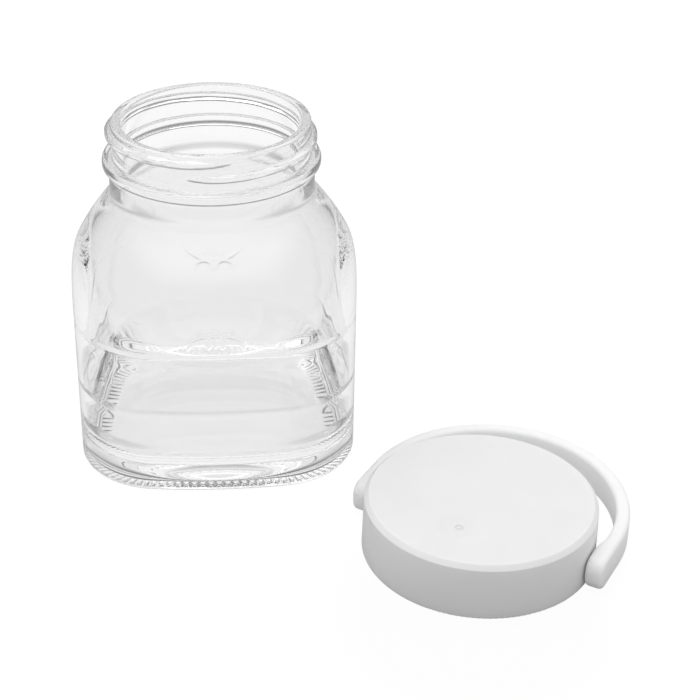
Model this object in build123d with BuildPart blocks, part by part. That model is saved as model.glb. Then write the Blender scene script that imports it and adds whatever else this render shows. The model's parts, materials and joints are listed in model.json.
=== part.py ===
"""Starter jar: a square-shouldered glass jar, open, with its screw lid lying beside it.

The lid has a white cap with a thread inside, a plug liner, a soft seal ring
and a flat strap handle that folds back. Millimetres, +Z up. The origin is the
centre of the jar's base, and the jar's decorated front faces -Y.
"""
from math import acos, cos, pi, radians, sin, sqrt
import os

from build123d import *

os.makedirs("parts", exist_ok=True)

# Jar: outer form of the body
side_reach = 56.5       # axis to the middle of each side
side_bow = 6.1          # each side is a shallow arc that falls back this far at its ends
corner_radius = 33.0    # upright corners, seen from above
dome_radius = 100.9     # the shoulder's profile is one long arc of this radius
dome_margin = 1.8       # the dome is wider than the body's corners by this
arch_blend = 9.0        # soft edge where the flat sides run up into the dome
heel_radius = 1.2       # rounded edge between the sides and the base
jar_height = 133.5

# Jar: walls
wall = 3.4
floor_thickness = 7.0
floor_corner = 11.0     # rounded corner inside, between the floor and the walls
bearing_width = 12.5    # the ring that the jar stands on, round the hollow under the base
push_up_height = 1.6

# Jar: neck and mouth
lip_radius = 38.4
lip_wall = 3.9
lip_round = 1.1
neck_height = 13.9      # from the bead's top to the lip
bead_reach = 3.9        # out from the neck
bead_height = 4.4
bead_round = 1.8
waist_step = 1.5        # the waist under the bead is wider than the neck by this
waist_height = 11.0     # from the shoulder up to the bead
waist_blend = 6.0       # curve from the waist out to the shoulder

# Jar: bands round the body and the arched panel on front and back
upper_band_height = 59.0
lower_band_height = 34.6
band_cutter_radius = 1.6
band_depth = 0.5
panel_half_width = 43.0
panel_foot = 63.5
panel_spring = 80.0     # where the panel's arched top begins
panel_rise = 8.0        # how much higher its middle is
panel_corner = 9.0
panel_depth = 0.45

# Screw thread, shared by the jar and the cap
pitch = 5.8
ridge_height = 2.3      # out from the jar's neck
ridge_width = 3.6       # where it stands on the neck
crest_width = 1.5
ridge_root = 0.6        # sunk into the wall that carries it
ridge_flank_share = 0.8 # of the height, where the straight flanks end and the round crest begins
ridge_start_drop = 8.9  # from the lip down to where the ridge starts
ridge_start_angle = -105.0
ridge_sweep = 386.0
run_out_angle = 26.0    # each end tapers away over this much of a turn
section_step = 11.0     # one thread section every so many degrees
cap_ridge_height = 1.8
cap_ridge_width = 3.0
cap_ridge_sweep = 320.0
thread_gap = 0.2        # between the two ridges when the lid is tight
ridge_clearance = 0.3   # from the jar's ridge to the cap's bore

# Lid: the cap
cap_wall = 2.0
cap_height = 22.2
cap_top = 2.2
cap_bevel = 1.65
cap_draft = 0.5         # the cap is wider at its rim than at its top by this, to leave its mould
cap_edge_round = 0.45
closed_gap = 0.7        # from the bead up to the cap's rim when the lid is tight
gate_dish_radius = 7.0  # shallow mark of the moulding gate on the cap's top
gate_dish_depth = 0.25
gate_dish_offset = 22.0

# Lid: the liner and the seal
seal_thickness = 1.8
liner_wall = 1.5
liner_skirt_clearance = 0.05
socket_step = 0.5       # the cap's bore narrows by this to hold the liner
socket_reach = 0.5      # and starts this far below the liner's flange
seal_inset = 0.2        # from the seal's edge to the lip's edge
plug_clearance = 1.1    # from the plug to the mouth's wall
plug_depth = 2.7        # how far the plug reaches down past the lip
plug_round = 1.0
seal_clearance = 0.05
seal_edge_round = 0.4

# Handle: a flat strap bent to a U, with thick ends and a stub pin at each
strap_gap = 1.8         # from the cap's rim to the strap
strap_thickness = 5.2
strap_width = 12.8
leg_length = 13.35      # from the pins to where the bow begins
strap_round = 1.6
lug_gap = 0.3           # from the thick ends to the cap's rim
lug_reach = 5.9         # from the pins to the strap's ends
lug_length = 3.5        # from the pins to where the thick ends begin to thin
lug_corner = 5.0        # round corners of the ends, seen from the side
strap_lift = 0.3        # the strap's edge clears the surface by this where it hangs on its pins
pin_radius = 2.5
pin_clearance = 0.05
pin_end_gap = 0.2
pin_hole_floor = 0.6    # wall that is left behind each pin

# How the lid lies beside the jar
lid_aside = 39.6        # from the jar's right side to the lid's centre
lid_before = 39.7       # from the jar's front to the lid's centre
lid_turn = -32.9        # degrees, the handle's pins against the jar's front
fold_angle = 1.5        # how far the handle lies above level

# One overrun for every cut
overrun = 2.0

# The jar, from the sizes above: how far its corners reach, and where the dome's arc is struck from
half_side = side_reach - side_bow
side_radius = (half_side**2 + side_bow**2) / (2 * side_bow)
side_centre = side_reach - side_radius
corner_centre = (side_centre + sqrt(2 * (side_radius - corner_radius) ** 2 - side_centre**2)) / 2
corner_reach = corner_centre * sqrt(2) + corner_radius
mouth_radius = lip_radius - lip_wall
bead_radius = lip_radius + bead_reach
bead_top = jar_height - neck_height
waist_radius = lip_radius + waist_step
shoulder_top = bead_top - bead_height - waist_height
dome_centre_r = corner_reach + dome_margin - dome_radius
dome_centre_z = shoulder_top - sqrt(dome_radius**2 - (waist_radius - dome_centre_r) ** 2)
ridge_start_z = jar_height - ridge_start_drop
push_up_radius = side_reach - bearing_width
push_up_dome = (push_up_radius**2 + push_up_height**2) / (2 * push_up_height)

# The lid and handle, from the jar they fit
closed_height = bead_top + closed_gap
seat_depth = jar_height - closed_height
bore_radius = lip_radius + ridge_height + ridge_clearance
cap_radius = bore_radius + cap_wall
cap_rim_radius = cap_radius + cap_draft
ceiling = cap_height - cap_top
socket_foot = seat_depth + seal_thickness - socket_reach
socket_radius = bore_radius - socket_step
liner_radius = socket_radius - liner_skirt_clearance
flange_foot = seat_depth + seal_thickness
plug_radius = mouth_radius - plug_clearance
plug_foot = seat_depth - plug_depth
seal_width = lip_radius - seal_inset - plug_radius
gate_sphere_radius = (gate_dish_radius**2 + gate_dish_depth**2) / (2 * gate_dish_depth)
strap_inner = cap_rim_radius + strap_gap
strap_outer = strap_inner + strap_thickness
lug_face = cap_rim_radius + lug_gap
pin_hole_depth = cap_wall - pin_hole_floor
pivot_height = strap_width / 2 + strap_lift
lid_x = side_reach + lid_aside
lid_y = -side_reach - lid_before

# Planes of the lid as it lies
lid_x_dir = (cos(radians(lid_turn)), sin(radians(lid_turn)), 0)
lid_plane = Plane(origin=(lid_x, lid_y, 0), x_dir=lid_x_dir, z_dir=(0, 0, 1))
lid_section = Plane(origin=lid_plane.origin, x_dir=lid_plane.x_dir, z_dir=-lid_plane.y_dir)
lid_axis = Axis(lid_plane.origin, lid_plane.z_dir)
pivot = lid_plane.from_local_coords((0, 0, pivot_height))
strap_normal = lid_plane.z_dir.rotate(Axis((0, 0, 0), lid_plane.x_dir), fold_angle)
strap_plane = Plane(origin=pivot, x_dir=lid_plane.x_dir, z_dir=strap_normal)
strap_side = Plane(origin=pivot, x_dir=strap_plane.y_dir, z_dir=lid_plane.x_dir)


def body_outline(inset):
    """The body seen from above: four bowed sides and round corners, all moved in by inset."""
    reach = side_reach - inset
    half = reach - side_bow
    with BuildSketch() as outline:
        with BuildLine():
            for turn in range(4):
                side = [Vector(half, -half), Vector(reach, 0), Vector(half, half)]
                ThreePointArc(*[point.rotate(Axis.Z, 90 * turn) for point in side])
        make_face()
        fillet(outline.vertices(), corner_radius - inset)
    return outline.sketch


def dome_outline(inset, inner_radius, top):
    """Half section of the shoulder dome under a straight neck, for turning about the jar's axis."""
    radius = dome_radius - inset
    widest = dome_centre_r + radius
    meet_z = dome_centre_z + sqrt(radius**2 - (inner_radius - dome_centre_r) ** 2)
    half_turn = acos((inner_radius - dome_centre_r) / radius) / 2
    middle = (dome_centre_r + radius * cos(half_turn), dome_centre_z + radius * sin(half_turn))
    with BuildSketch() as outline:
        with BuildLine():
            Polyline((0, top), (0, 0), (widest, 0), (widest, dome_centre_z))
            ThreePointArc((widest, dome_centre_z), middle, (inner_radius, meet_z))
            Polyline((inner_radius, meet_z), (inner_radius, top), (0, top))
        make_face()
        shoulder = outline.vertices().sort_by_distance((inner_radius, meet_z))[0]
        fillet(shoulder, waist_blend)
    return outline.sketch


def thread_ridge(base, wall_radius, height, width, start_z, start_angle, sweep_angle):
    """A helical ridge on a round wall, tapered at both ends. A negative height points inwards."""
    steps = round(sweep_angle / section_step)
    outward = 1 if height > 0 else -1
    with BuildPart() as ridge:
        for step in range(steps + 1):
            turned = sweep_angle * step / steps
            angle = radians(start_angle + turned)
            to_end = min(turned, sweep_angle - turned)
            fade = max(sin(pi / 2 * min(to_end / run_out_angle, 1)), ridge_root / abs(height) / 2)
            radial = base.x_dir * cos(angle) + base.y_dir * sin(angle)
            along = base.y_dir * cos(angle) - base.x_dir * sin(angle)
            middle = base.origin + radial * wall_radius + base.z_dir * (start_z + pitch * turned / 360)
            with BuildSketch(Plane(origin=middle, x_dir=radial * outward, z_dir=along * outward)):
                with BuildLine():
                    foot = width / 2 * sqrt(fade)
                    crest = crest_width / 2 * sqrt(fade)
                    out = abs(height) * fade
                    flank = out * ridge_flank_share
                    Polyline((-ridge_root, -foot), (0, -foot), (flank, -crest))
                    ThreePointArc((flank, -crest), (out, 0), (flank, crest))
                    Polyline((flank, crest), (0, foot), (-ridge_root, foot), (-ridge_root, -foot))
                make_face()
        loft(ruled=True)
    return ridge.part


# The glass jar
neck_thread = thread_ridge(
    Plane.XY, lip_radius, ridge_height, ridge_width, ridge_start_z, ridge_start_angle, ridge_sweep
)

with BuildPart() as cavity:
    with BuildSketch(Plane.XY.offset(floor_thickness)):
        add(body_outline(wall))
    extrude(amount=jar_height)
    fillet(cavity.faces().sort_by(Axis.Z)[0].edges(), floor_corner)
    with BuildSketch(Plane.XZ):
        add(dome_outline(wall, mouth_radius, jar_height + overrun))
    revolve(axis=Axis.Z, mode=Mode.INTERSECT)
    fillet(cavity.edges().filter_by(GeomType.BSPLINE), arch_blend - wall)

with BuildPart() as push_up:
    with BuildSketch(Plane.XZ):
        with BuildLine():
            Polyline((push_up_radius, -overrun), (0, -overrun), (0, push_up_height))
            RadiusArc((0, push_up_height), (push_up_radius, 0), push_up_dome)
            Line((push_up_radius, 0), (push_up_radius, -overrun))
        make_face()
    revolve(axis=Axis.Z)

with BuildPart() as panel_cut:
    with BuildSketch(Plane.XZ) as panel:
        with BuildLine():
            Polyline(
                (-panel_half_width, panel_spring), (-panel_half_width, panel_foot),
                (panel_half_width, panel_foot), (panel_half_width, panel_spring),
            )
            ThreePointArc(
                (panel_half_width, panel_spring),
                (0, panel_spring + panel_rise),
                (-panel_half_width, panel_spring),
            )
        make_face()
        fillet(panel.vertices(), panel_corner)
    extrude(amount=side_reach + overrun, both=True)
    with BuildSketch():
        add(body_outline(panel_depth))
    extrude(amount=jar_height, mode=Mode.SUBTRACT)

with BuildPart() as jar:
    with BuildSketch():
        add(body_outline(0))
    extrude(amount=jar_height)
    with BuildSketch(Plane.XZ):
        add(dome_outline(0, waist_radius, bead_top))
    revolve(axis=Axis.Z, mode=Mode.INTERSECT)
    fillet(jar.edges().filter_by(GeomType.BSPLINE), arch_blend)
    fillet(jar.faces().sort_by(Axis.Z)[0].edges(), heel_radius)
    add(panel_cut.part, mode=Mode.SUBTRACT)
    # Bands: a round cutter runs round the body, its centre outside the glass
    for height in (upper_band_height, lower_band_height):
        cutter_out = side_reach + band_cutter_radius - band_depth
        path = body_outline(side_reach - cutter_out).wire().moved(Location((0, 0, height)))
        start = path @ 0
        with BuildSketch(Plane(origin=start, z_dir=path % 0)):
            Circle(band_cutter_radius)
        sweep(path=path, mode=Mode.SUBTRACT)
    # Neck, bead and lip
    with BuildSketch(Plane.XZ) as neck:
        with Locations((0, bead_top)):
            Rectangle(lip_radius, jar_height - bead_top, align=(Align.MIN, Align.MIN))
        fillet(neck.vertices().sort_by_distance((lip_radius, jar_height))[0], lip_round)
    revolve(axis=Axis.Z)
    with BuildSketch(Plane.XZ) as bead:
        with Locations((0, bead_top)):
            Rectangle(bead_radius, bead_height, align=(Align.MIN, Align.MAX))
        fillet(bead.vertices().group_by(Axis.X)[-1], bead_round)
    revolve(axis=Axis.Z)
    add(neck_thread)
    add(cavity.part, mode=Mode.SUBTRACT)
    add(push_up.part, mode=Mode.SUBTRACT)
    mouth_edge = jar.edges().filter_by(GeomType.CIRCLE).group_by(Axis.Z)[-1].sort_by(SortBy.RADIUS)[0]
    fillet(mouth_edge, lip_round)
jar.part.label = "jar"
export_step(jar.part, "parts/jar.step")

# The cap: a smooth shell with a thread inside and a blind hole each side for the handle's pins
cap_ridge_drop = (ridge_width + cap_ridge_width) / 2 + thread_gap
cap_ridge_start_angle = ridge_start_angle + run_out_angle
cap_ridge_start_z = ridge_start_z + pitch * run_out_angle / 360 - cap_ridge_drop - closed_height
cap_thread = thread_ridge(
    lid_plane, bore_radius, -cap_ridge_height, cap_ridge_width,
    cap_ridge_start_z, cap_ridge_start_angle, cap_ridge_sweep,
)

with BuildPart() as lid_cap:
    with BuildSketch(lid_section) as shell:
        with BuildLine():
            Polyline((0, 0), (cap_rim_radius, 0), (cap_radius, cap_height), (0, cap_height), close=True)
        make_face()
        fillet(shell.vertices().sort_by_distance((cap_rim_radius, 0))[0], cap_edge_round)
        chamfer(shell.vertices().sort_by_distance((cap_radius, cap_height))[0], cap_bevel)
        fillet(shell.vertices().sort_by_distance((cap_radius, cap_height))[:2], cap_edge_round)
    revolve(axis=lid_axis)
    with BuildSketch(lid_section):
        Rectangle(socket_radius, ceiling, align=(Align.MIN, Align.MIN))
        Rectangle(bore_radius, socket_foot, align=(Align.MIN, Align.MIN))
    revolve(axis=lid_axis, mode=Mode.SUBTRACT)
    add(cap_thread)
    for side in (1, -1):
        hole = Plane(origin=pivot, x_dir=lid_plane.y_dir, z_dir=lid_plane.x_dir * side)
        with BuildSketch(hole.offset(cap_radius - pin_hole_depth)):
            Circle(pin_radius + pin_clearance)
        extrude(amount=pin_hole_depth + overrun, mode=Mode.SUBTRACT)
    dish_plane = Plane(
        origin=lid_plane.from_local_coords((0, -gate_dish_offset, cap_height)), z_dir=(0, 0, 1)
    )
    with Locations(dish_plane.offset(gate_sphere_radius - gate_dish_depth)):
        Sphere(gate_sphere_radius, mode=Mode.SUBTRACT)
lid_cap.part.label = "lid_cap"
export_step(lid_cap.part, "parts/lid_cap.step")

# The liner: a shallow plug that closes the cap's hollow top and carries the seal
with BuildPart() as lid_liner:
    with BuildSketch(lid_section) as section:
        with BuildLine():
            Polyline(
                (0, plug_foot), (plug_radius, plug_foot), (plug_radius, flange_foot),
                (liner_radius, flange_foot), (liner_radius, ceiling),
                (liner_radius - liner_wall, ceiling), (liner_radius - liner_wall, flange_foot + liner_wall),
                (plug_radius - liner_wall, flange_foot + liner_wall),
                (plug_radius - liner_wall, plug_foot + liner_wall), (0, plug_foot + liner_wall),
                close=True,
            )
        make_face()
        fillet(section.vertices().sort_by_distance((plug_radius, plug_foot))[0], plug_round)
    revolve(axis=lid_axis)
lid_liner.part.label = "lid_liner"
export_step(lid_liner.part, "parts/lid_liner.step")

# The seal ring: it lies under the liner's flange, round the plug
with BuildPart() as seal_ring:
    with BuildSketch(lid_section) as washer:
        with Locations((plug_radius + seal_clearance, seat_depth)):
            Rectangle(seal_width, seal_thickness, align=(Align.MIN, Align.MIN))
        fillet(washer.vertices().group_by(Axis.Y)[0], seal_edge_round)
    revolve(axis=lid_axis)
seal_ring.part.label = "seal_ring"
export_step(seal_ring.part, "parts/seal_ring.step")

# The handle: the strap is cut from a U seen from above and a round-cornered bar seen from the side
with BuildPart() as handle:
    with BuildSketch(strap_plane):
        with BuildLine():
            for side in (1, -1):
                leg_top = (side * strap_inner, leg_length)
                Polyline(
                    (side * strap_outer, leg_length), (side * strap_outer, -lug_reach),
                    (side * lug_face, -lug_reach), (side * lug_face, lug_length),
                )
                Spline((side * lug_face, lug_length), leg_top, tangents=[(0, 1), (0, 1)])
            for reach in (strap_inner, strap_outer):
                ThreePointArc((reach, leg_length), (0, leg_length + reach), (-reach, leg_length))
        make_face()
    extrude(amount=strap_width / 2, both=True)
    with BuildSketch(strap_side) as bar:
        with Locations((-lug_reach, 0)):
            Rectangle(lug_reach + leg_length + 2 * strap_outer, strap_width, align=(Align.MIN, Align.CENTER))
        fillet(bar.vertices().sort_by(Axis.X)[:2], lug_corner)
    extrude(amount=2 * strap_outer, both=True, mode=Mode.INTERSECT)
    fillet(handle.edges().filter_by(Axis(pivot, lid_plane.x_dir), reverse=True), strap_round)
    for side in (1, -1):
        inner = Plane(origin=pivot, x_dir=strap_plane.y_dir, z_dir=lid_plane.x_dir * side)
        with BuildSketch(inner.offset(cap_radius - pin_hole_depth + pin_end_gap)):
            Circle(pin_radius)
        extrude(amount=cap_draft + pin_hole_depth + lug_gap)
handle.part.label = "handle"
export_step(handle.part, "parts/handle.step")
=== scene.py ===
# %% [markdown]
# A starter jar in pressed glass, with its white screw lid beside it
#
# The jar is clear glass, so everything that you see of it is an edge, a bend or a thickness. The lid is
# matt white plastic, so there it is the form and the soft shading that count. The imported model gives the
# size and place of every piece. This file gives the jar a finer skin and every piece its finish.
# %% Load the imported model
import json
from math import atan2, cos, hypot, pi, radians, sin, sqrt

import bpy
import numpy as np
from mathutils import Matrix, Vector


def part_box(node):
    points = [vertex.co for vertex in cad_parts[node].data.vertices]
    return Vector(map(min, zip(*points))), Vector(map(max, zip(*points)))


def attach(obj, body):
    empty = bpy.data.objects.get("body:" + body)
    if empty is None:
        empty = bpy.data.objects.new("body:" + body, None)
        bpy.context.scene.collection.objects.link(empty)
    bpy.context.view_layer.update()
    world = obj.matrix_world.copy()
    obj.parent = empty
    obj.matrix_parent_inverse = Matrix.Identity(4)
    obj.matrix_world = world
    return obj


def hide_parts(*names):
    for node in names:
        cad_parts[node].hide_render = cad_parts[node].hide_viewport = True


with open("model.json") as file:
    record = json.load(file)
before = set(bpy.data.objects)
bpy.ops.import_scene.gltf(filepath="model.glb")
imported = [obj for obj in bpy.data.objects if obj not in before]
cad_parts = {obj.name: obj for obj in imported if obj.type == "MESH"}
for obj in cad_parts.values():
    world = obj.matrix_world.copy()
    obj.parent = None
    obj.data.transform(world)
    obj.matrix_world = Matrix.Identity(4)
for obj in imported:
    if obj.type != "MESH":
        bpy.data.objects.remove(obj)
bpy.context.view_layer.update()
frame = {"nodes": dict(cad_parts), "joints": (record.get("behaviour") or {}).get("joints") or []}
MM = 0.001
print("pieces in the frame:", sorted(frame["nodes"]))

# %% [markdown]
# The camera comes first. It stands in front of the jar and looks down at 30 degrees. Its place was worked
# out from the round mouth, the square body and the lid, and it is given by where it stands, where it looks
# and which way is up, because three short vectors are easier to check than three turns.
# %% Camera
camera_place = Vector((1.54, -584.9, 369.19)) * MM
looks_along = Vector((0.0480, 0.8632, -0.5026)).normalized()
roughly_up = Vector((0.0229, 0.5021, 0.8645))
picture_width = 700
focal_pixels = 1634.8
centre_pixel = (298.9, 353.2)
sensor_width = 36

camera_data = bpy.data.cameras.new("camera")
camera_data.sensor_width = sensor_width
camera_data.lens = focal_pixels / picture_width * sensor_width
camera_data.shift_x = 0.5 - centre_pixel[0] / picture_width
camera_data.shift_y = centre_pixel[1] / picture_width - 0.5
camera = bpy.data.objects.new("camera", camera_data)
bpy.context.scene.collection.objects.link(camera)
right = looks_along.cross(roughly_up).normalized()
upright = right.cross(looks_along)
turn = Matrix((right, upright, -looks_along)).transposed().to_4x4()
camera.matrix_world = Matrix.Translation(camera_place) @ turn
bpy.context.scene.camera = camera
print("lens", round(camera_data.lens, 1), "mm")

# %% [markdown]
# The sizes come from the frame wherever a piece's box holds them. What a box can't say, such as the bow of
# a side or the radius of a corner, is named here in millimetres, as it would be on the mould maker's sheet.
# %% Sizes of the body
jar_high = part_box("jar")[1]
side_reach = jar_high.x / MM
jar_height = jar_high.z / MM
side_bow = 6.1
corner_radius = 33.0
dome_radius = 100.9
dome_margin = 1.8
wall = 3.4
floor_height = 7.0
floor_corner = 11.0
heel_radius = 1.2
bearing_width = 12.5
push_up_height = 1.6
print("jar", round(2 * side_reach, 1), "wide and", round(jar_height, 1), "high")

# %% Sizes of the neck
neck_height = 13.9
lip_radius = 38.4
mouth_radius = 34.5
lip_round = 1.1
bead_top = jar_height - neck_height
bead_height = 4.4
bead_radius = 42.3
bead_round = 1.8
waist_radius = 39.9
waist_height = 11.0
print("lip", 2 * lip_radius, "mouth", 2 * mouth_radius, "bead at", round(bead_top, 1))

# %% [markdown]
# Each side of the body is a shallow arc, and the corners are rounder arcs that touch the sides without a
# kink. Where such a corner's centre lies follows from the two radii: the distance between the centres of
# touching circles is the difference of their radii. The shoulder's arc is placed by the same kind of
# reasoning: it has to pass the waist, and it reaches a little past the corners.
# %% Centres of the arcs
half_side = side_reach - side_bow
side_radius = (half_side**2 + side_bow**2) / (2 * side_bow)
side_centre = side_reach - side_radius
corner_centre = (side_centre + sqrt(2 * (side_radius - corner_radius) ** 2 - side_centre**2)) / 2
corner_reach = corner_centre * sqrt(2) + corner_radius
dome_centre_r = corner_reach + dome_margin - dome_radius
shoulder_top = bead_top - bead_height - waist_height
dome_centre_z = shoulder_top - sqrt(dome_radius**2 - (waist_radius - dome_centre_r) ** 2)
print("corner reach", round(corner_reach, 2), "dome centre", round(dome_centre_r, 2), round(dome_centre_z, 2))

# %% [markdown]
# Seen from above, the body is four shallow arcs joined by round corners. Seen from the side, the shoulder
# is one long arc. In polar form both are a radius: the first for each angle, the second for each height.
# The glass stands at the smaller of the two, and a soft minimum rounds the arch where they cross. Cutting
# one solid with another would give the same form, but a sharp arch, and uneven faces beside it.
# %% Soft minimum and soft step
def soft_min(a, b, width):
    """The smaller of a and b, blended by a parabola where they differ by less than width."""
    share = np.clip(0.5 + 0.5 * (b - a) / width, 0, 1)
    return b * (1 - share) + a * share - width * share * (1 - share)


def soft_max(a, b, width):
    """The larger of a and b, blended the same way."""
    return -soft_min(-a, -b, width)


def smooth_step(value):
    """0 below 0, 1 above 1, and three squares less two cubes of the value between."""
    share = np.clip(value, 0, 1)
    return share * share * (3 - 2 * share)


print("soft minimum of 1 and 1 over a width of 1:", float(soft_min(1.0, 1.0, 1.0)))


# %% The outline and the shoulder as radii
def outline_radius(angle, inset):
    """Polar radius of the body's outline: a side's arc, or past its end the corner's circle."""
    folded = (angle + pi / 4) % (pi / 2) - pi / 4
    radius = side_radius - inset
    side = side_centre * np.cos(folded) + np.sqrt(radius**2 - (side_centre * np.sin(folded)) ** 2)
    from_corner = pi / 4 - np.abs(folded)
    corner_r = corner_radius - inset
    off = corner_centre * sqrt(2)
    under_root = np.maximum(corner_r**2 - (off * np.sin(from_corner)) ** 2, 0)
    corner = off * np.cos(from_corner) + np.sqrt(under_root)
    reach = hypot(corner_centre - side_centre, corner_centre)
    end_x = side_centre + radius * (corner_centre - side_centre) / reach
    end_y = radius * corner_centre / reach
    return np.where(np.abs(folded) < atan2(end_y, end_x), side, corner)


def shoulder_radius(height, inset):
    """Radius of the shoulder's arc at a height, straight below the arc's centre."""
    above = np.maximum(height - dome_centre_z, 0)
    return dome_centre_r + np.sqrt(np.maximum((dome_radius - inset) ** 2 - above**2, 0))


print("outline at a side and a corner:", *np.round(outline_radius(np.array([0, pi / 4]), 0), 2))

# %% [markdown]
# The skin is a grid with one column for each angle and one row for each step along the profile. The body's
# columns crowd together at the front, where the small ornaments are. The neck has more columns than the
# body, since its lip and thread bend the light most. Rows are close where the bands and ornaments are.
# %% Columns and rows
front_angle = -pi / 2
ornament_window = radians(15)
fine_columns = 84
plain_columns = 160
neck_columns = 400


def body_angles():
    """Angles of the columns: an even fine run across the front and an even coarse run round the rest."""
    start, stop = front_angle - ornament_window, front_angle + ornament_window
    fine = np.linspace(start, stop, fine_columns, endpoint=False)
    rest = np.linspace(stop, start + 2 * pi, plain_columns, endpoint=False)
    return np.concatenate([fine, rest])


def graded(low, high, coarse, fine, places):
    """Steps from low to high: coarse, but fine inside each (from, to) place."""
    steps = [low]
    while steps[-1] < high:
        inside = any(start <= steps[-1] < stop for start, stop in places)
        steps.append(steps[-1] + (fine if inside else coarse))
    steps[-1] = high
    return np.array(steps)


def polar_rings(rows, turned):
    """Rings of points from rows of radius and height, one point for each angle."""
    radius = np.array([row[0] for row in rows])
    height = np.array([row[1] for row in rows])
    return np.stack([radius * np.cos(turned), radius * np.sin(turned), height], -1)


def all_round(value):
    """One value for every column of the body."""
    return np.full_like(angles, value)


angles = body_angles()
neck_angles = front_angle + np.linspace(0, 2 * pi, neck_columns, endpoint=False)
print("columns", len(angles), "and", len(neck_angles))

# %% [markdown]
# Under the base is a shallow hollow, which keeps the middle of the jar off the table. A jar is blown in a
# mould, and this hollow is pushed up in it, so its form is a flat piece of a sphere. The heel is a quarter
# circle that follows the body's outline. A Bevel modifier could round the heel, but it would need a sharp
# edge first, and here each row of the grid already knows its radius and height.
# %% Rows under the base and round the heel
hollow_steps = 12
heel_steps = 7


def under_base_rows():
    """The hollow's rows: a sphere's cap of the push-up's height over the circle inside the bearing ring."""
    circle = side_reach - bearing_width
    sphere = (circle**2 + push_up_height**2) / (2 * push_up_height)
    radii = np.linspace(0, circle, hollow_steps)[1:]
    heights = push_up_height - sphere + np.sqrt(sphere**2 - radii**2)
    return [(all_round(radius), all_round(height)) for radius, height in zip(radii, heights)]


def heel_rows():
    """A quarter circle from the base's flat edge up to the side."""
    inner = outline_radius(angles, 0) - heel_radius
    swing = np.linspace(0, pi / 2, heel_steps)
    return [(inner + heel_radius * sin(a), all_round(heel_radius * (1 - cos(a)))) for a in swing]


hollow_rings = polar_rings(under_base_rows(), angles)
print("rows under the base", len(hollow_rings), "and round the heel", heel_steps)

# %% [markdown]
# The jar stands on a ring of short bars, so that hot glass touches the belt in few places and wet glass
# doesn't stick to the table. The bars follow the body's outline, each square to it. A Bump node could draw
# them, but they are seen through thick glass from above, where only a real shape bends light as it should.
# Columns have to sit on the bars' own edges, so this ring has finer ones, spaced by a walk along the outline.
# %% The ring of bars under the jar
bar_count = 116
bar_height = 0.08
bar_start = 4.2
bar_end = 10.6
bar_slope = 0.5
bar_margin = 0.4
bar_column_shares = np.array([-0.24, -0.13, 0.13, 0.24, 0.5])
bar_columns_raised = [0, 1, 1, 0, 0]
walk_points = 20001
nudge = 1e-4


def outline_points(angle):
    """Points of the body's outline: its radius turned to across and deep."""
    radius = outline_radius(angle, 0)
    return np.stack([radius * np.cos(angle), radius * np.sin(angle)], -1)


def bar_ring_rows():
    """Rings of points under the base: the outline moved in along its own normals, low where the bars are."""
    fine = np.linspace(angles[0], angles[0] + 2 * pi, walk_points)
    stretch = np.linalg.norm(np.diff(outline_points(fine), axis=0), axis=1)
    walked = np.concatenate([[0], np.cumsum(stretch)])
    places = (np.arange(bar_count)[:, None] + 0.5 + bar_column_shares).ravel() / bar_count * walked[-1]
    angle = np.interp(places, walked, fine)
    along = outline_points(angle + nudge) - outline_points(angle - nudge)
    normal = np.stack([along[:, 1], -along[:, 0]], -1) / np.linalg.norm(along, axis=1)[:, None]
    on_bar = np.tile(bar_columns_raised, bar_count)
    rows = []
    # How far in from the outline, whether the glass is off the table there, and whether the bars reach down.
    for inset, raised, barred in (
        (bar_end + 2 * bar_margin, 0, 0), (bar_end + bar_margin, 1, 0), (bar_end, 1, 0),
        (bar_end - bar_slope, 1, 1), ((bar_start + bar_end) / 2, 1, 1), (bar_start + bar_slope, 1, 1),
        (bar_start, 1, 0), (bar_start - bar_margin, 1, 0), (bar_start - 2 * bar_margin, 0, 0),
    ):
        level = bar_height * (raised - barred * on_bar)
        rows.append(np.column_stack([outline_points(angle) - inset * normal, level]))
    return np.array(rows)


bar_rings = bar_ring_rows()
print("bars", bar_count, "with rings of", bar_rings.shape[1], "points")

# %% [markdown]
# Two bands are pressed into the body, and an arched panel into its front and back. Each is a small step
# inwards with soft edges, because hot glass doesn't fill the mould's sharp corners. Cutting them out would
# leave hard edges to be rounded again. A depth that is taken off the radius does for both, and a cosine and
# a ramp make its edges soft from the start.
# %% Bands and panels
band_heights = (59.0, 34.6)
band_half_width = 2.6
band_depth = 0.24
panel_half_width = 43.0
panel_foot = 63.5
panel_spring = 80.0
panel_rise = 8.0
panel_corner = 9.0
panel_depth = 0.2
panel_ramp = 2.0


def band_groove(height):
    """Depth of the band grooves at each height: a squared cosine, so that both edges run out softly."""
    depth = np.zeros_like(height)
    for centre in band_heights:
        off = np.clip(np.abs(height - centre) / band_half_width, 0, 1)
        depth = np.maximum(depth, band_depth * np.cos(pi / 2 * off) ** 2)
    return depth


def panel_step(across, height):
    """Depth of the panel: the signed distance inside its rounded, arched outline, run through a ramp."""
    arch = panel_spring + panel_rise * (1 - (across / panel_half_width) ** 2)
    to_side = panel_half_width - np.abs(across)
    to_end = np.minimum(height - panel_foot, arch - height)
    inside = soft_min(to_side, to_end, panel_corner)
    return panel_depth * smooth_step(inside / panel_ramp)


print("deepest band", float(band_groove(np.array(band_heights)).max()), "and panel", panel_depth)

# %% [markdown]
# Two small ornaments stand on the front, one above the panel and one at its foot: a bud with a scroll and
# two leaves each side. Such relief is cut into the mould by hand, so it is drawn here as strokes. Each
# stroke is a curve with a width, and the glass rises towards the curve as a smooth ridge. A picture of the
# relief would need far more memory, and would show its own squares in the glass.
# %% Strokes of the ornaments
curl_in_share = 0.65


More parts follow.
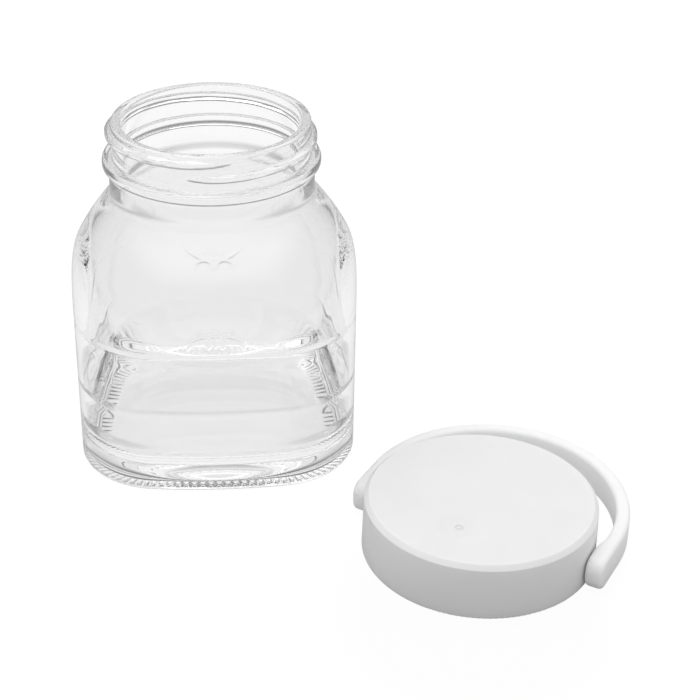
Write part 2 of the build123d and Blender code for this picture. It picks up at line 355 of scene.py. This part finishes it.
def bend(start, pull, end, start_width, end_width, steps=40):
    """A quadratic Bezier curve as points across and up, with a width that goes evenly from end to end."""
    t = np.linspace(0, 1, steps)[:, None]
    points = (1 - t) ** 2 * np.array(start) + 2 * t * (1 - t) * np.array(pull) + t**2 * np.array(end)
    return points, start_width + (end_width - start_width) * t[:, 0]


def curl(centre, reach, first, last, width, steps=40):
    """A spiral that draws in to a third of its reach, as points across and up, with an even width."""
    t = np.linspace(0, 1, steps)
    angle = np.radians(first + (last - first) * t)
    radius = reach * (1 - curl_in_share * t)
    points = np.array(centre) + np.stack([radius * np.cos(angle), radius * np.sin(angle)], -1)
    return points, np.full(steps, width)


ornament_strokes = [
    bend((0.7, -0.8), (4.9, -1.3), (10.4, 2.1), 0.55, 0.22),
    bend((0.9, -2.0), (3.4, -0.2), (7.0, -2.3), 0.45, 0.22),
    curl((2.5, 0.9), 1.2, -120, 300, 0.32),
    bend((0.0, 0.5), (0.2, 1.1), (0.0, 1.7), 0.6, 0.3),
    bend((0.0, -2.4), (0.2, -2.4), (0.4, -2.4), 0.4, 0.4),
]
print("strokes", len(ornament_strokes))

# %% Relief of the ornaments
relief_height = 0.65
upper_ornament = 97.2
lower_ornament = 68.6
stroke_reach = 1.5
stroke_crest = 1.25


def ornament_relief(across, up):
    """Height of the relief: for each place, the tallest of the smooth ridges of all strokes, mirrored."""
    relief = np.zeros_like(across)
    for points, widths in ornament_strokes:
        apart = np.hypot(np.abs(across)[..., None] - points[:, 0], up[..., None] - points[:, 1])
        ridge = smooth_step(stroke_crest - apart / (widths * stroke_reach))
        relief = np.maximum(relief, ridge.max(-1))
    return relief_height * relief


print("ornaments at", upper_ornament, "and", lower_ornament)

# %% [markdown]
# The sides and the shoulder are now one surface: for every angle and height, the soft minimum of the two
# radii, less the bands and the panel, plus the ornaments. Where the shoulder draws in to the neck, a soft
# maximum stops it at the waist. The rows lie close together only where there is something small to show, as
# one even fine grid would be far heavier and look no better.
# %% Rows of the body
outer_blend = 3.4
waist_blend = 1.7
waist_gap = 0.4
inner_corner_round = 0.8
body_step = 1.7
detail_step = 0.38
below_band = 2.6
above_band = 2.4
ornament_places = [(65.0, 72.5), (93.5, 101.5)]
detail_places = [(centre - below_band, centre + above_band) for centre in band_heights] + ornament_places
neck_grid_height = 104.0
body_top = bead_top - bead_height - inner_corner_round - waist_gap


def body_rows(low, high, turned):
    """Radius and height of the sides and the shoulder between two heights, with all that is on them."""
    facing = np.abs(np.sin(turned)) > sqrt(0.5)
    rows = []
    for height in graded(low, high, body_step, detail_step, detail_places)[1:]:
        shoulder = soft_max(shoulder_radius(height, 0), waist_radius, waist_blend)
        radius = soft_min(outline_radius(turned, 0), shoulder, outer_blend)
        level = np.full_like(turned, height)
        radius = radius - band_groove(level)
        radius = radius - panel_step(radius * np.cos(turned), level) * facing
        across = np.where(np.sin(turned) < 0, radius * np.cos(turned), side_reach)
        radius = radius + ornament_relief(across, level - upper_ornament)
        radius = radius + ornament_relief(across, lower_ornament - level)
        rows.append((radius, level))
    return rows


body_rings = polar_rings(heel_rows() + body_rows(heel_radius, neck_grid_height, angles), angles)
print("rows of the body", len(body_rings))

# %% [markdown]
# The thread is one ridge that climbs a little more than once round the neck. It could be a profile swept
# along a helix, but then it would be a second skin inside the glass, and light would bend at both. At each
# angle the ridge's middle has a known height, so here it is only a bump on the neck's own radius: soft
# flanks, a flat crest, and a fade where it starts and stops.
# %% Thread
pitch = 5.8
ridge_height = 2.3
ridge_width = 3.6
crest_width = 1.5
ridge_below_lip = 8.9
ridge_start_angle = radians(-105)
ridge_sweep = radians(386)
run_out = radians(26)
smallest_fade = 1e-6


def thread_bump(angle, height):
    """Height of the ridge above the neck: the higher of the two laps that pass this angle."""
    bump = np.zeros(np.broadcast(angle, height).shape)
    for lap in (0, 1):
        turned = (angle - ridge_start_angle) % (2 * pi) + 2 * pi * lap
        to_end = np.minimum(turned, ridge_sweep - turned)
        fade = np.sin(pi / 2 * np.clip(to_end / run_out, 0, 1))
        middle = jar_height - ridge_below_lip + pitch * turned / (2 * pi)
        off = np.abs(height - middle) / np.sqrt(np.maximum(fade, smallest_fade))
        flank = (ridge_width / 2 - off) / (ridge_width / 2 - crest_width / 2)
        bump = np.maximum(bump, ridge_height * fade * smooth_step(flank))
    return bump


print("thread turns", round(ridge_sweep / (2 * pi), 2))

# %% [markdown]
# Round parts of the profile, such as the bead and the lip, are drawn as a path with rounded corners. A
# Bezier curve could draw them too, but it only comes near to a circle. The helper walks along straight runs
# and swings round each corner on a true arc.
# %% A path with round corners
def run_between(start, stop, step):
    """Evenly spaced points after start up to stop, about one step apart."""
    count = max(1, round(np.linalg.norm(stop - start) / step))
    share = np.linspace(0, 1, count + 1)[1:, None]
    return list(start * (1 - share) + stop * share)


def rounded_path(points, radii, steps, arc_steps=9):
    """Points along straight runs, with an arc of the given radius that touches both runs at each corner."""
    points = np.array(points, float)
    rows = [points[0]]
    for before, corner, after, radius, step in zip(points, points[1:], points[2:], radii, steps):
        back = (before - corner) / np.linalg.norm(before - corner)
        ahead = (after - corner) / np.linalg.norm(after - corner)
        half_turn = (pi - np.arccos(np.clip(back @ ahead, -1, 1))) / 2
        tangent = radius * np.tan(half_turn)
        start, stop = corner + back * tangent, corner + ahead * tangent
        centre = corner + (back + ahead) / np.linalg.norm(back + ahead) * radius / np.cos(half_turn)
        rows += run_between(rows[-1], start, step)
        swing = np.linspace(0, 1, arc_steps)[1:]
        mixed = (start - centre) * (1 - swing)[:, None] + (stop - centre) * swing[:, None]
        rows += list(centre + mixed / np.linalg.norm(mixed, axis=1)[:, None] * radius)
    return np.array(rows + run_between(rows[-1], points[-1], steps[-1]))


corner_trial = rounded_path([(0, 0), (4, 0), (4, 4)], [1], [1, 1])
print("a square corner becomes", len(corner_trial), "points")

# %% [markdown]
# The neck is the one round part of the jar: a bead that the mould's ring leaves, the threaded neck, the
# fire-polished lip and the mouth. Its profile is one rounded path from the waist over the lip and down
# inside. A Screw modifier could turn it, but it can't add a thread that fades at its ends, so the rows are
# turned here, and the thread is added to those that stand outside.
# %% Rows of the neck
short_run = 0.05
under_bead = bead_top - bead_height
neck_corners = [
    (waist_radius, under_bead - inner_corner_round), (waist_radius, under_bead),
    (bead_radius, under_bead), (bead_radius, bead_top), (lip_radius, bead_top),
    (lip_radius, jar_height), (mouth_radius, jar_height), (mouth_radius, bead_top),
]
waist_round = inner_corner_round - short_run
neck_rounds = [waist_round, bead_round, bead_round, inner_corner_round, lip_round, lip_round]
neck_steps = [0.4, 0.6, 0.4, 0.8, 0.4, 0.6, 2.0]


def neck_rows():
    """Radius and height from the waist to inside the mouth, with the thread on the outside of the neck."""
    rows = []
    for radius, height in rounded_path(neck_corners, neck_rounds, neck_steps):
        beside_thread = bead_top < height < jar_height - lip_round / 2
        on_neck = beside_thread and radius > mouth_radius + lip_round
        bump = thread_bump(neck_angles, height) if on_neck else 0
        rows.append((radius + bump + 0 * neck_angles, np.full_like(neck_angles, height)))
    return rows


neck_rings = polar_rings(body_rows(neck_grid_height, body_top, neck_angles) + neck_rows(), neck_angles)
print("rows of the neck", len(neck_rings))

# %% [markdown]
# No mould touches the inside of a blown jar, so the glass sets there in slow waves, with none of the small
# forms of the outside. A Solidify modifier would copy those forms to the inside, so the inside has its own
# rows. A few sines of the angle and the height make the waves, which are what lets light wander through a
# real jar. They fade out towards the mouth and the floor, where the form is held.
# %% Rows of the inside
inner_blend = 8.0
inner_waist_blend = 8.0
mouth_gap = 1.8
inside_step = 2.2
wave_fade = 12
floor_corner_steps = 13
floor_steps = 10
ripple_height = 0.12
# Waves round the jar, how fast each turns with the height, and where it starts.
ripple_waves = ((2, 0.05, 0.4), (3, -0.08, 2.1), (5, 0.11, 4.0), (8, -0.06, 1.3))


def inner_ripple(height):
    """The slow waves: sines of so many turns of the angle plus so much of the height, each over its turns."""
    waves = np.zeros_like(angles)
    for turns, per_height, phase in ripple_waves:
        waves = waves + np.sin(turns * angles + per_height * height + phase) / turns
    return ripple_height * waves


def inside_rows():
    """The inner shoulder and walls, then a quarter circle inwards to the floor, then the floor."""
    wall_foot = floor_height + floor_corner
    rows = []
    for height in np.arange(bead_top - mouth_gap, wall_foot, -inside_step):
        shoulder = soft_max(shoulder_radius(height, wall), mouth_radius, inner_waist_blend)
        radius = soft_min(outline_radius(angles, wall), shoulder, inner_blend)
        fade = smooth_step((bead_top - height) / wave_fade) * smooth_step((height - wall_foot) / wave_fade)
        rows.append((radius + fade * inner_ripple(height), all_round(height)))
    for a in np.linspace(0, pi / 2, floor_corner_steps):
        radius = outline_radius(angles, wall + floor_corner * (1 - cos(a)))
        rows.append((radius, all_round(wall_foot - floor_corner * sin(a))))
    edge = outline_radius(angles, wall + floor_corner)
    rows += [(edge * t, all_round(floor_height)) for t in np.linspace(1, 0, floor_steps)[1:-1]]
    return rows


inside_rings = polar_rings(inside_rows(), angles)
print("rows of the inside", len(inside_rings))

# %% [markdown]
# A mesh is made from grids of rings in one go: the faces of a grid come from one array of corner numbers.
# Two rings with different columns are zipped together: walking round both, whichever ring has the next
# point gives the next triangle. A fan closes each end, so the skin has no hole and the glass has an inside.
# %% Faces of a grid, a zip and a fan
def grid_faces(count, around, first):
    """Quads between count rings of around points each, numbered from first."""
    row = np.arange(count - 1)[:, None] * around + first
    column = np.arange(around)
    after = (column + 1) % around
    corners = [row + column, row + after, row + around + after, row + around + column]
    return np.stack(np.broadcast_arrays(*corners), -1).reshape(-1, 4).tolist()


def in_order(ring, points):
    """A ring's point numbers and polar angles, sorted by how far they are turned from the front."""
    turned = (np.arctan2(points[ring, 1], points[ring, 0]) - front_angle) % (2 * pi)
    order = np.argsort(turned)
    return ring[order], turned[order]


def zipped_faces(last, following, points):
    """Triangles between two rings: each step along one ring, with the point that the other is then at."""
    last, last_angle = in_order(last, points)
    following, following_angle = in_order(following, points)
    beside_last = following[np.searchsorted(following_angle, last_angle, side="right") - 1]
    beside_following = last[np.searchsorted(last_angle, following_angle, side="left") - 1]
    step_last = np.stack([np.roll(last, 1), last, beside_last], -1)
    step_following = np.stack([beside_following, following, np.roll(following, 1)], -1)
    return step_last.tolist() + step_following.tolist()


def fan_faces(ring, pole, turned_over):
    """Triangles from a ring to a single point, the other way round where the ring is the last one."""
    ahead = np.roll(ring, -1)
    first, second = (ring, ahead) if turned_over else (ahead, ring)
    return np.stack([np.full(len(ring), pole), first, second], -1).tolist()


print("a grid of 3 rings of 4 points has", len(grid_faces(3, 4, 0)), "faces")

# %% [markdown]
# The whole skin goes from the middle of the base round the heel, up the body, over the lip, down the inside
# and across the floor. It is one closed surface with a wall of real thickness, because light bends where
# it enters glass and again where it leaves. An outer and an inner skin made apart would need their rims
# joined afterwards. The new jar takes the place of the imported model's plainer one.
# %% Points and faces of the glass
stretches = [hollow_rings, bar_rings, body_rings, neck_rings, inside_rings]
poles = np.array([[0, 0, push_up_height], [0, 0, floor_height]])
glass_points = np.vstack([stretch.reshape(-1, 3) for stretch in stretches] + [poles])

glass_faces = []
first, last_ring = 0, None
for stretch in stretches:
    count, around = stretch.shape[:2]
    if last_ring is not None:
        glass_faces += zipped_faces(last_ring, first + np.arange(around), glass_points)
    glass_faces += grid_faces(count, around, first)
    first += count * around
    last_ring = first - around + np.arange(around)
glass_faces += fan_faces(np.arange(len(angles)), first, False)
glass_faces += fan_faces(last_ring, first + 1, True)
print("glass points", len(glass_points), "triangles", sum(len(face) - 2 for face in glass_faces))


# %% The glass jar
def mesh_object(name, vertices, faces):
    """A smooth-shaded mesh object with its place in its mesh."""
    mesh = bpy.data.meshes.new(name)
    mesh.from_pydata(vertices.tolist(), [], faces)
    mesh.polygons.foreach_set("use_smooth", np.ones(len(mesh.polygons), bool))
    mesh.update()
    made = bpy.data.objects.new(name, mesh)
    bpy.context.scene.collection.objects.link(made)
    return made


glass = mesh_object("jar_glass", glass_points * MM, glass_faces)
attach(glass, "jar")
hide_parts("jar")
print("glass size", *np.round(np.ptp(glass_points, axis=0), 2), "mm")

# %% [markdown]
# The finishes are all a little uneven, as real ones are. Image textures could show that, but they would need
# a flat layout of every piece. Two effects made of noise serve them all, so each is a node group, built once:
# broad clouds, which vary a value slowly over the surface, and fine grain, which tilts the surface by a
# hair's breadth as a spark-eroded mould does.
# %% Clouds
noise_low, noise_high = 0.3, 0.7


def new_group(name, numbers, output, kind):
    """An empty node group with plain number inputs and one output, with its two end nodes."""
    group = bpy.data.node_groups.new(name, "ShaderNodeTree")
    for label, value in numbers:
        socket = group.interface.new_socket(name=label, in_out="INPUT", socket_type="NodeSocketFloat")
        socket.default_value = value
    group.interface.new_socket(name=output, in_out="OUTPUT", socket_type=kind)
    return group, group.nodes.new("NodeGroupInput"), group.nodes.new("NodeGroupOutput")


def noise_at(tree, scale, detail):
    """A noise texture on Object coordinates, whose scale is a socket."""
    place = tree.nodes.new("ShaderNodeTexCoord")
    noise = tree.nodes.new("ShaderNodeTexNoise")
    noise.inputs["Detail"].default_value = detail
    tree.links.new(place.outputs["Object"], noise.inputs["Vector"])
    tree.links.new(scale, noise.inputs["Scale"])
    return noise.outputs["Fac"]


def make_clouds():
    """Slow variation: the noise's usual range stretched to run from Low to High."""
    numbers = (("Scale", 40.0), ("Low", 0.4), ("High", 0.5))
    group, given, result = new_group("clouds", numbers, "Value", "NodeSocketFloat")
    spread = group.nodes.new("ShaderNodeMapRange")
    spread.inputs["From Min"].default_value = noise_low
    spread.inputs["From Max"].default_value = noise_high
    group.links.new(noise_at(group, given.outputs["Scale"], detail=3.0), spread.inputs["Value"])
    group.links.new(given.outputs["Low"], spread.inputs["To Min"])
    group.links.new(given.outputs["High"], spread.inputs["To Max"])
    group.links.new(spread.outputs["Result"], result.inputs["Value"])
    return group


clouds = make_clouds()
print("clouds is a group of", len(clouds.nodes), "nodes")


# %% Grain
def make_grain():
    """Fine relief: noise as the height of a Bump node, whose depth is given in metres."""
    numbers = (("Scale", 1500.0), ("Depth", 0.00002), ("Strength", 0.5))
    group, given, result = new_group("grain", numbers, "Normal", "NodeSocketVector")
    bump = group.nodes.new("ShaderNodeBump")
    group.links.new(noise_at(group, given.outputs["Scale"], detail=2.0), bump.inputs["Height"])
    group.links.new(given.outputs["Depth"], bump.inputs["Distance"])
    group.links.new(given.outputs["Strength"], bump.inputs["Strength"])
    group.links.new(bump.outputs["Normal"], result.inputs["Normal"])
    return group


grain = make_grain()
print("grain is a group of", len(grain.nodes), "nodes")

# %% [markdown]
# Clear glass shows itself by bending the light, so the shader is plain: a smooth surface with the index of
# soda-lime glass. A Glass node would do too, but the Principled shader is the one that other programs read.
# Each pass through the surface takes a little light, and the volume takes a little more, which greys the
# thick places: the base, the bead and every wall seen edge on.
# %% Glass
glass_grey = 0.92
glass_index = 1.52
glass_loss_per_metre = 1.2


def placed_group(tree, group, **values):
    """One use of a group in a material, with its own values."""
    node = tree.nodes.new("ShaderNodeGroup")
    node.node_tree = group
    for label, value in values.items():
        node.inputs[label].default_value = value
    return node.outputs[0]


def new_material(name):
    """A node material, its node tree and its Principled shader."""
    material = bpy.data.materials.new(name)
    material.use_nodes = True
    return material, material.node_tree, material.node_tree.nodes["Principled BSDF"]


glass_material, tree, shader = new_material("clear_pressed_glass")
shader.inputs["Base Color"].default_value = (glass_grey, glass_grey, glass_grey, 1)
shader.inputs["IOR"].default_value = glass_index
shader.inputs["Transmission Weight"].default_value = 1.0
tree.links.new(placed_group(tree, clouds, Scale=30.0, Low=0.0, High=0.02), shader.inputs["Roughness"])
tree.links.new(placed_group(tree, grain, Scale=60.0, Depth=0.0001, Strength=0.08), shader.inputs["Normal"])
absorption = tree.nodes.new("ShaderNodeVolumeAbsorption")
absorption.inputs["Color"].default_value = (0, 0, 0, 1)
absorption.inputs["Density"].default_value = glass_loss_per_metre
tree.links.new(absorption.outputs["Volume"], tree.nodes["Material Output"].inputs["Volume"])
glass.data.materials.append(glass_material)
print("glass of index", glass_index, "with", len(tree.nodes), "nodes")

# %% [markdown]
# The cap and the handle are white polypropylene from a spark-eroded mould: matt, with a fine even grain.
# The liner inside is the same plastic from a smoother mould, and the seal is milky silicone. Their colour
# and roughness drift a little, as the melt and the mould's polish do. Such plastic lets some light in, which
# lifts its shaded side. A brighter colour would lift the lit side as well, so Subsurface does it here, most
# of all in the thin strap of the handle. The four materials differ in numbers only, so one function makes
# them all.
# %% Plastics and silicone
melt_scale = 55.0
polish_scale = 140.0
grain_strength = 0.6
light_reach = 0.006


def moulded(name, grey, drift, roughness, grain_scale, grain_depth, light_let_in):
    """A white moulded material: clouds in its colour and roughness, and a grain on its surface."""
    material, tree, shader = new_material(name)
    mix = tree.nodes.new("ShaderNodeMix")
    mix.data_type = "RGBA"
    mix.inputs["A"].default_value = (grey - drift, grey - drift, grey - drift, 1)
    mix.inputs["B"].default_value = (grey, grey, grey, 1)
    tree.links.new(placed_group(tree, clouds, Scale=melt_scale, Low=0.0, High=1.0), mix.inputs["Factor"])
    tree.links.new(mix.outputs["Result"], shader.inputs["Base Color"])
    low, high = roughness
    polish = placed_group(tree, clouds, Scale=polish_scale, Low=low, High=high)
    tree.links.new(polish, shader.inputs["Roughness"])
    normal = placed_group(tree, grain, Scale=grain_scale, Depth=grain_depth, Strength=grain_strength)
    tree.links.new(normal, shader.inputs["Normal"])
    shader.inputs["Subsurface Weight"].default_value = light_let_in
    shader.inputs["Subsurface Radius"].default_value = (1, 1, 1)
    shader.inputs["Subsurface Scale"].default_value = light_reach
    return material


# Grey, how far it drifts, roughness from and to, the grain's scale and depth, and how much light goes in.
finishes = {
    "lid_cap": moulded("white_cap_plastic", 0.855, 0.02, (0.5, 0.62), 1600.0, 0.00004, 0.3),
    # The handle's grey is lighter than the cap's, and part of that is painted light, which lifts the shade on
    # its strap and lugs.
    "handle": moulded("white_handle_plastic", 0.93, 0.02, (0.42, 0.52), 1600.0, 0.00003, 0.8),
    "lid_liner": moulded("white_liner_plastic", 0.82, 0.02, (0.3, 0.4), 900.0, 0.00001, 0.3),
    "seal_ring": moulded("milky_silicone", 0.78, 0.03, (0.35, 0.5), 700.0, 0.00002, 0.5),
}
for name, finish in finishes.items():
    slots = frame["nodes"][name].data.materials
    slots.clear()
    slots.append(finish)
print("finishes:", [finish.name for finish in finishes.values()])

# %% [markdown]
# The cap was filled through a small gate in its top, which leaves a shallow dish. What was left when the gate
# was cut stands in the dish as two low rings. Each is a torus that is sunk until only its crest shows, so
# the cap needs no cut for it. The dish lies square to the line of the handle's pins, and its place is worked
# out from them.
# %% Gate mark
gate_offset = 22.0
# Radius of the ring and of its tube, how deep the tube's middle is sunk, and how far the ring stands aside.
gate_rings = ((5.6, 0.32, 0.39, 0.0), (1.2, 0.34, 0.32, 1.2))

cap_low, cap_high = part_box("lid_cap")
pivot_joint = next(joint for joint in frame["joints"] if joint["name"] == "handle_pivot")
pin_line = Vector(pivot_joint["axis"]).normalized()
gate_x = (cap_low.x + cap_high.x) / 2 / MM + pin_line.y * gate_offset
gate_y = (cap_low.y + cap_high.y) / 2 / MM - pin_line.x * gate_offset


def torus(name, place, ring_radius, tube_radius, around=72, across=12):
    """A ring as a mesh: a circle of radius tube_radius whose centre goes round the place."""
    turned = np.linspace(0, 2 * pi, around, endpoint=False)
    swing = np.linspace(0, 2 * pi, across, endpoint=False)[:, None]
    reach = ring_radius + tube_radius * np.cos(swing)
    level = tube_radius * np.sin(swing) + 0 * turned
    points = np.stack([reach * np.cos(turned), reach * np.sin(turned), level], -1).reshape(-1, 3) + place
    faces = np.array(grid_faces(across + 1, around, 0)) % len(points)
    return mesh_object(name, points * MM, faces.tolist())


for number, (ring_radius, tube_radius, sunk, aside) in enumerate(gate_rings, 1):
    place = np.array([gate_x + aside, gate_y, cap_high.z / MM - sunk])
    mark = torus(f"gate_ring_{number}", place, ring_radius, tube_radius)
    mark.data.materials.append(finishes["lid_cap"])
    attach(mark, "lid")
print("gate mark at", round(gate_x, 1), round(gate_y, 1))

# %% [markdown]
# The studio is plain: a pale floor, one broad lamp above and the world's even light. The camera sees floor
# and world as white paper. Glass has no colour of its own and shows what is round it, so for rays that went
# through glass or off a gloss the paper darkens far from the jar, as a table does beyond its light. That
# draws the grey lines along the jar's edges. Dark cards round the jar would draw them too, as they do in a
# studio, but they would also shade the lid.
# %% The floor
floor_level = -0.0001
floor_reach = 3.0

corner_signs = np.array([(-1, -1), (1, -1), (1, 1), (-1, 1)])
floor_corners = np.column_stack([corner_signs * floor_reach, np.full(4, floor_level)])
floor_mesh = bpy.data.meshes.new("floor")
floor_mesh.from_pydata(floor_corners.tolist(), [], [(0, 1, 2, 3)])
floor = bpy.data.objects.new("floor", floor_mesh)
bpy.context.scene.collection.objects.link(floor)
print("floor", 2 * floor_reach, "metres wide")

# %% [markdown]
# The floor's material is a mix. For rays that look, it is mostly a glow as bright as paper, with a share of
# plain diffuse white left in, and that share carries the shadows. For rays that only bring light it is
# diffuse alone, so that it lights the jar and the lid from below as a real table does. A plain white floor
# would need far more light to look white, and the lid would clip.
# %% Telling the rays apart
floor_material = bpy.data.materials.new("pale_floor")
floor_material.use_nodes = True
floor.data.materials.append(floor_material)
tree = floor_material.node_tree
tree.nodes.clear()


def math_node(tree, operation, first, second):
    """A Math node fed by sockets or plain numbers."""
    node = tree.nodes.new("ShaderNodeMath")
    node.operation = operation
    for socket, value in zip(node.inputs, (first, second)):
        if isinstance(value, (int, float)):
            socket.default_value = value
        else:
            tree.links.new(value, socket)
    return node.outputs[0]


def between(tree, low, high, share):
    """Low where the share is 0 and high where it is 1: low plus the share times their difference."""
    step = math_node(tree, "MULTIPLY", share, math_node(tree, "SUBTRACT", high, low))
    return math_node(tree, "ADD", low, step)


def ray_is(tree, *kinds):
    """1 for a ray of any of these kinds and 0 for the others: the largest of Light Path's outputs."""
    path = tree.nodes.new("ShaderNodeLightPath")
    found = path.outputs[f"Is {kinds[0]} Ray"]
    for kind in kinds[1:]:
        found = math_node(tree, "MAXIMUM", found, path.outputs[f"Is {kind} Ray"])
    return found


camera_ray = ray_is(tree, "Camera")
straight_or_bent = ray_is(tree, "Camera", "Transmission")
looking = ray_is(tree, "Camera", "Glossy", "Transmission")
print("nodes that tell the rays apart:", len(tree.nodes))

# %% How bright the paper looks
paper_white = 1.08
mirror_share = 0.45
# Metres from the jar, and the paper's grey there.
paper_greys = ((0.0, 1.0), (0.42, 1.0), (0.75, 0.3), (1.0, 0.25))


def grey_ramp(tree, value, steps):
    """A colour ramp of greys over a value, from (place, grey) steps."""
    node = tree.nodes.new("ShaderNodeValToRGB")
    while len(node.color_ramp.elements) < len(steps):
        node.color_ramp.elements.new(0.5)
    for element, (place, grey) in zip(node.color_ramp.elements, steps):
        element.position = place
        element.color = (grey, grey, grey, 1)
    tree.links.new(value, node.inputs["Fac"])
    return node.outputs["Color"]


def distance_from(tree, centre):
    """Distance in metres of each point of the floor from a centre on it."""
    place = tree.nodes.new("ShaderNodeTexCoord")
    apart = tree.nodes.new("ShaderNodeVectorMath")
    apart.operation = "DISTANCE"
    apart.inputs[1].default_value = (*centre, floor_level)
    tree.links.new(place.outputs["Object"], apart.inputs[0])
    return apart.outputs["Value"]


paper = grey_ramp(tree, distance_from(tree, (0.0, 0.0)), paper_greys)
mirrored = math_node(tree, "MULTIPLY", paper, mirror_share)
through_glass = between(tree, mirrored, paper, straight_or_bent)
shown = math_node(tree, "MULTIPLY", between(tree, through_glass, 1.0, camera_ray), paper_white)
print("nodes with the paper:", len(tree.nodes))

# %% [markdown]
# What the floor throws back as light is a plain diffuse white. In front of the lid it is darker, because in
# the photograph the cap's side is clearly shaded, and a floor that is white right up to it would light it.
# That darker patch is painted shade, and it also shows faintly on the floor as a painted shadow in front of
# the lid.
# %% A floor that looks white and still takes the shadows
paper_share = 0.88
aside_of_lid = 0.008
# Metres from the place in front of the lid, and the diffuse grey there: low near the lid as painted shade.
diffuse_and_painted_shade_greys = ((0.0, 0.3), (0.04, 0.3), (0.1, 0.72), (1.0, 0.72))

before_lid = ((cap_low.x + cap_high.x) / 2 - aside_of_lid, cap_low.y)
diffuse = tree.nodes.new("ShaderNodeBsdfDiffuse")
tree.links.new(grey_ramp(tree, distance_from(tree, before_lid), diffuse_and_painted_shade_greys), diffuse.inputs["Color"])
glow = tree.nodes.new("ShaderNodeEmission")
glow.inputs["Color"].default_value = (1, 1, 1, 1)
tree.links.new(shown, glow.inputs["Strength"])
mix = tree.nodes.new("ShaderNodeMixShader")
tree.links.new(math_node(tree, "MULTIPLY", looking, paper_share), mix.inputs[0])
tree.links.new(diffuse.outputs[0], mix.inputs[1])
tree.links.new(glow.outputs[0], mix.inputs[2])
output = tree.nodes.new("ShaderNodeOutputMaterial")
tree.links.new(mix.outputs[0], output.inputs["Surface"])
print("nodes of the whole floor:", len(tree.nodes))

# %% [markdown]
# One broad lamp hangs over the jar, a little behind it and to the left, as a soft box does in a studio. A
# small lamp or a sun would throw hard shadows and draw hard glints in the glass. This one is wide enough for
# the shadows to stay soft, and weak enough for the cap's white top not to clip.
# %% One broad lamp
lamp_place = Vector((-0.2, 0.2, 1.2))
lamp_target = Vector((0.03, -0.03, 0.05))
lamp_width = 0.9
lamp_watts = 5.0

lamp_data = bpy.data.lights.new("top_lamp", "AREA")
lamp_data.size = lamp_width
lamp_data.energy = lamp_watts
lamp = bpy.data.objects.new("top_lamp", lamp_data)
bpy.context.scene.collection.objects.link(lamp)
aim = (lamp_target - lamp_place).to_track_quat("-Z", "Y").to_matrix().to_4x4()
lamp.matrix_world = Matrix.Translation(lamp_place) @ aim
print("lamp", round((lamp_target - lamp_place).length, 2), "metres from what it is aimed at")

# %% [markdown]
# For rays through glass or off a gloss, the world's brightness follows the height of each direction. A ramp
# reads its sine, from the horizon at the ramp's start to straight up at its end: dark low down, for the
# edges, and bright overhead, for the thick base. Plain light comes a little more from behind than from the
# front, so that the side of the lid that faces the camera is shaded. A picture of a studio could do all of
# this, but its light can't be changed one part at a time.
# %% World
# Sine of the height or, for plain light, how far to the back, and the brightness there.
ceiling_greys = ((0.0, 0.3), (0.42, 0.3), (0.6, 1.2), (1.0, 1.2))
light_greys = ((0.0, 0.72), (0.3, 0.78), (0.6, 0.85), (1.0, 0.85))
bounce_limit = 40

world = bpy.data.worlds.new("studio")
bpy.context.scene.world = world
world.use_nodes = True
tree = world.node_tree
background = tree.nodes["Background"]
background.inputs["Color"].default_value = (1, 1, 1, 1)
direction = tree.nodes.new("ShaderNodeTexCoord")
split = tree.nodes.new("ShaderNodeSeparateXYZ")
tree.links.new(direction.outputs["Generated"], split.inputs[0])
ceiling = grey_ramp(tree, split.outputs["Z"], ceiling_greys)
towards_back = math_node(tree, "ADD", 0.5, math_node(tree, "MULTIPLY", split.outputs["Y"], 0.5))
light = grey_ramp(tree, towards_back, light_greys)
seen = between(tree, light, ceiling, ray_is(tree, "Glossy", "Transmission"))
tree.links.new(between(tree, seen, 1.0, ray_is(tree, "Camera")), background.inputs["Strength"])

scene = bpy.context.scene
scene.view_settings.view_transform = "Standard"
scene.cycles.max_bounces = bounce_limit
scene.cycles.transmission_bounces = bounce_limit
scene.cycles.glossy_bounces = bounce_limit
print("world nodes", len(tree.nodes))
